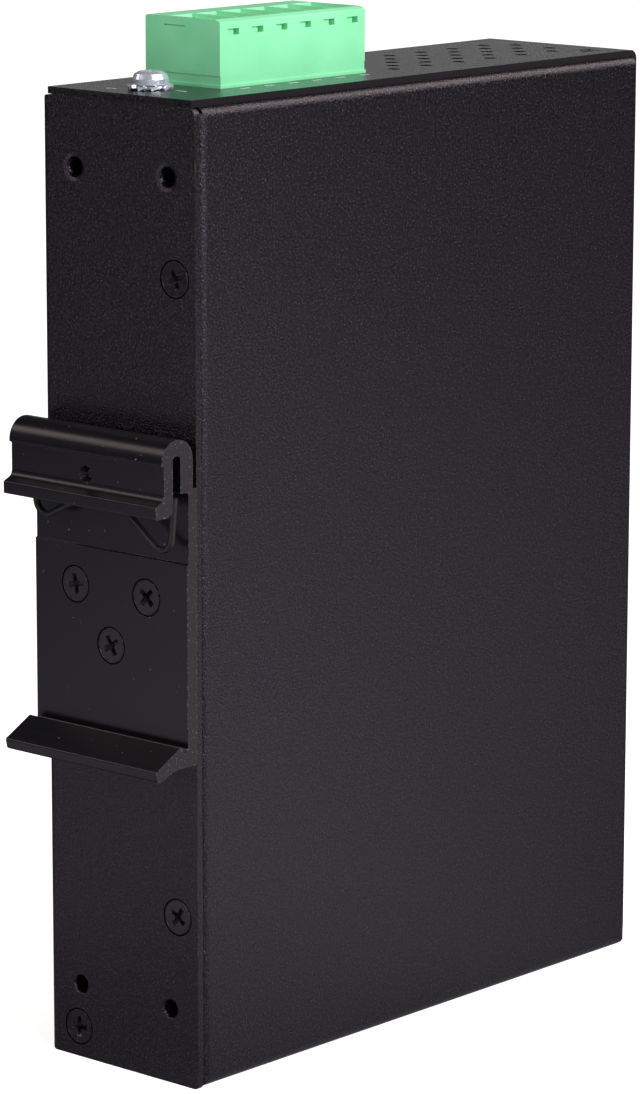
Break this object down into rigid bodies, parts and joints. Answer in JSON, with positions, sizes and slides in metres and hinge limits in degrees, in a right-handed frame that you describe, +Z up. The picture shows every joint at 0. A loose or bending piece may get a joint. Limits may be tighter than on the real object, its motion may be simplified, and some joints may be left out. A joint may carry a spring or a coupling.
{
  "type": "DIN rail ethernet switch",
  "caption": "Slim upright steel case with a rail clip and wire spring on its back, network sockets in its front and a plug-in terminal block on top.",
  "frame": {"origin": "centre of the plane that the case stands on, midway between its side walls and between its front and back faces", "axes": "+Z up, +Y out of the back towards the rail, -Y out of the sockets, +X towards the left wall as seen from the back"},
  "size_m": [0.0303, 0.1094, 0.1516],
  "materials": {
    "case_paint": "fine-textured black powder coat",
    "clip_black": "black anodised extrusion",
    "spring_steel": "dark spring wire",
    "black_screws": "blackened steel",
    "zinc_steel": "zinc plated",
    "green_plastic": "moulded, satin",
    "tin_plate": "tin plated",
    "circuit_board": "solder mask over glass laminate",
    "heat_sink_black": "black anodised",
    "chip_black": "moulded package",
    "ferrite": "sintered ferrite",
    "capacitor_can": "bare can",
    "clear_plastic": "clear moulding",
    "gold_contacts": "gold plated spring contacts",
    "jack_black": "moulded socket body",
    "lamp_plastic": "tinted lamp window"
  },
  "bodies": {
    "root": {"alarm_relay": "chip_black", "board_screws": "zinc_steel", "board_standoffs": "zinc_steel", "chip_heat_sink": "heat_sink_black", "clip_nuts": "zinc_steel", "clip_screws": "black_screws", "clip_spring": "spring_steel", "clock_crystal": "tin_plate", "cover_top_nut": "zinc_steel", "cover_top_screw": "black_screws", "din_clip": "clip_black", "filter_capacitors": "capacitor_can", "front_wrap": "case_paint", "ground_nut": "zinc_steel", "ground_screw": "zinc_steel", "header_pins": "tin_plate", "jack_contacts_1": "gold_contacts", "jack_contacts_2": "gold_contacts", "jack_contacts_3": "gold_contacts", "jack_contacts_4": "gold_contacts", "jack_contacts_5": "gold_contacts", "jack_insert_1": "jack_black", "jack_insert_2": "jack_black", "jack_insert_3": "jack_black", "jack_insert_4": "jack_black", "jack_insert_5": "jack_black", "jack_lamps_1": "lamp_plastic", "jack_lamps_2": "lamp_plastic", "jack_lamps_3": "lamp_plastic", "jack_lamps_4": "lamp_plastic", "jack_lamps_5": "lamp_plastic", "jack_shield_1": "tin_plate", "jack_shield_2": "tin_plate", "jack_shield_3": "tin_plate", "jack_shield_4": "tin_plate", "jack_shield_5": "tin_plate", "light_pipes": "clear_plastic", "main_board": "circuit_board", "panel_nuts": "zinc_steel", "panel_screws": "black_screws", "plug_contacts": "tin_plate", "plug_screws": "tin_plate", "port_magnetics_1": "chip_black", "port_magnetics_2": "chip_black", "port_magnetics_3": "chip_black", "port_magnetics_4": "chip_black", "port_magnetics_5": "chip_black", "power_inductor": "ferrite", "rear_left_shell": "case_paint", "right_cover": "case_paint", "star_washer": "zinc_steel", "status_lamps": "clear_plastic", "switch_chip": "chip_black", "terminal_header": "green_plastic", "terminal_plug": "green_plastic", "wire_clamps": "tin_plate"}
  },
  "joints": []
}
